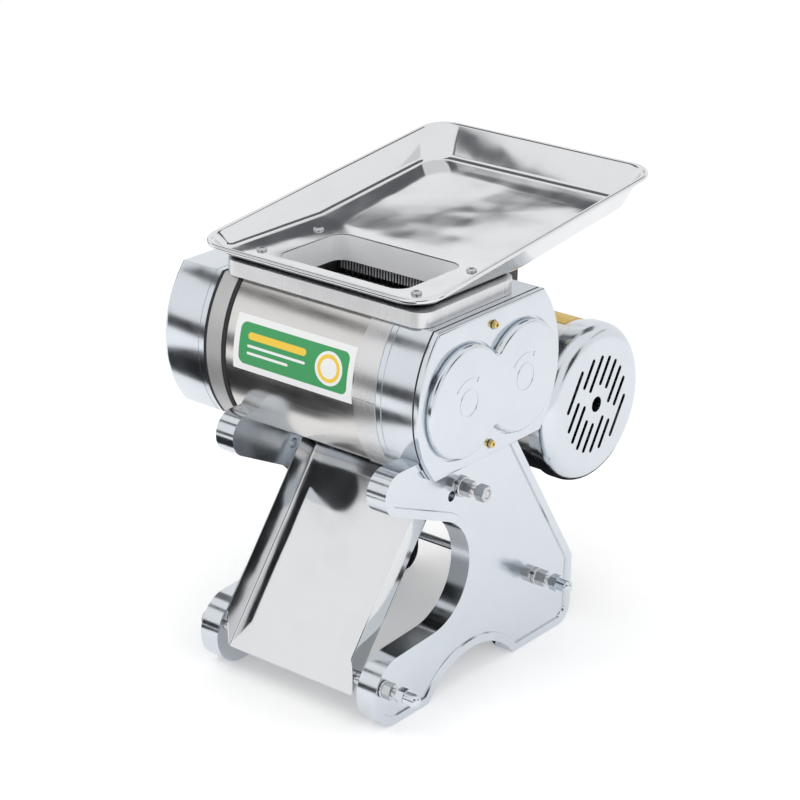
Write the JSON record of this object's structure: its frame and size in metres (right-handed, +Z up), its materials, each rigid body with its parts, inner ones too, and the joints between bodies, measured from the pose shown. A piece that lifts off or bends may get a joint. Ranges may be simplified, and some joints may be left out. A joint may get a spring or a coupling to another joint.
{
  "type": "meat cutter",
  "caption": "Table-top electric meat cutter with a sloping feed tray, twin sets of disc knives in a round body, a rear motor and a chute between two cast stands.",
  "frame": {"origin": "middle of the box of the whole machine, on the worktop", "axes": "+X along the knife shafts towards the gear cover, +Y from the chute to the motor, +Z up"},
  "size_m": [0.3422, 0.4225, 0.4336],
  "materials": {
    "cast_chrome": "bright satin plating on a casting",
    "brushed_aluminium": "machined",
    "mirror_steel": "polished sheet",
    "steel": "zinc plated or turned",
    "blade_steel": "ground",
    "brass": "plain",
    "black_rubber": "matt",
    "black_plastic": "matt",
    "copper": "varnished winding on a steel core",
    "grey_plastic": "matt"
  },
  "bodies": {
    "machine": {"back_left_tray_screw": "steel", "back_right_tray_screw": "steel", "base_plate": "steel", "cable_gland": "black_plastic", "discharge_chute": "mirror_steel", "fan_cover": "cast_chrome", "feed_collar": "brushed_aluminium", "feed_tray": "mirror_steel", "front_comb": "black_plastic", "front_cover": "mirror_steel", "front_left_bearing": "steel", "front_left_tray_screw": "steel", "front_right_bearing": "steel", "front_right_tray_screw": "steel", "gear_cover": "cast_chrome", "gear_cover_gasket": "black_rubber", "gear_housing": "cast_chrome", "gearbox_gasket": "black_rubber", "gearbox_housing": "cast_chrome", "left_frame_plate": "brushed_aluminium", "left_stand": "cast_chrome", "lower_dome_nut": "cast_chrome", "lower_flange_nut": "steel", "lower_gear_cover_screw": "brass", "lower_left_chute_bolt": "steel", "lower_right_chute_bolt": "steel", "motor_end_shield": "cast_chrome", "motor_front_bearing": "steel", "motor_front_bell": "cast_chrome", "motor_rear_bearing": "steel", "motor_shell": "mirror_steel", "motor_stator": "copper", "rear_comb": "black_plastic", "rear_cover": "mirror_steel", "rear_dome_nut": "cast_chrome", "rear_flange_nut": "steel", "rear_left_bearing": "steel", "rear_right_bearing": "steel", "rear_tie_rod": "steel", "right_frame_plate": "brushed_aluminium", "right_stand": "cast_chrome", "switch_box": "black_plastic", "upper_flange_nut": "steel", "upper_gear_cover_screw": "brass", "upper_left_chute_bolt": "steel", "upper_lock_nut": "steel", "upper_right_chute_bolt": "steel"},
    "motor_rotor_set": {"motor_rotor": "steel", "motor_pinion": "steel", "motor_fan": "black_plastic"},
    "layshaft_set": {"pinion_layshaft": "steel", "layshaft_gear": "steel"},
    "rear_knife_set": {"rear_knife_shaft": "steel", "rear_blade_set": "blade_steel", "rear_timing_gear": "steel", "drive_gear": "steel"},
    "front_knife_set": {"front_knife_shaft": "steel", "front_blade_set": "blade_steel", "front_timing_gear": "steel"},
    "rocker": {"switch_rocker": "grey_plastic"}
  },
  "joints": [
    {"name": "motor_spin", "type": "hinge", "parent": "machine", "child": "motor_rotor_set", "pos_m": [-0.0135, 0.12525, 0.2165], "axis": [1, 0, 0], "continuous": true},
    {"name": "layshaft_spin", "type": "hinge", "parent": "machine", "child": "layshaft_set", "pos_m": [-0.0135, 0.03653, 0.24601], "axis": [1, 0, 0], "continuous": true},
    {"name": "rear_knife_spin", "type": "hinge", "parent": "machine", "child": "rear_knife_set", "pos_m": [-0.0135, -0.01845, 0.2925], "axis": [1, 0, 0], "continuous": true},
    {"name": "front_knife_spin", "type": "hinge", "parent": "machine", "child": "front_knife_set", "pos_m": [-0.0135, -0.10245, 0.2925], "axis": [1, 0, 0], "continuous": true},
    {"name": "switch_rocker_tilt", "type": "hinge", "parent": "machine", "child": "rocker", "pos_m": [-0.0209, 0.12525, 0.32223], "axis": [0, -1, 0], "range_deg": [0, 20]}
  ],
  "couplings": [
    {"joint": "layshaft_spin", "follows": "motor_spin", "ratio": -0.41667},
    {"joint": "rear_knife_spin", "follows": "motor_spin", "ratio": 0.13889},
    {"joint": "front_knife_spin", "follows": "motor_spin", "ratio": -0.13889}
  ]
}
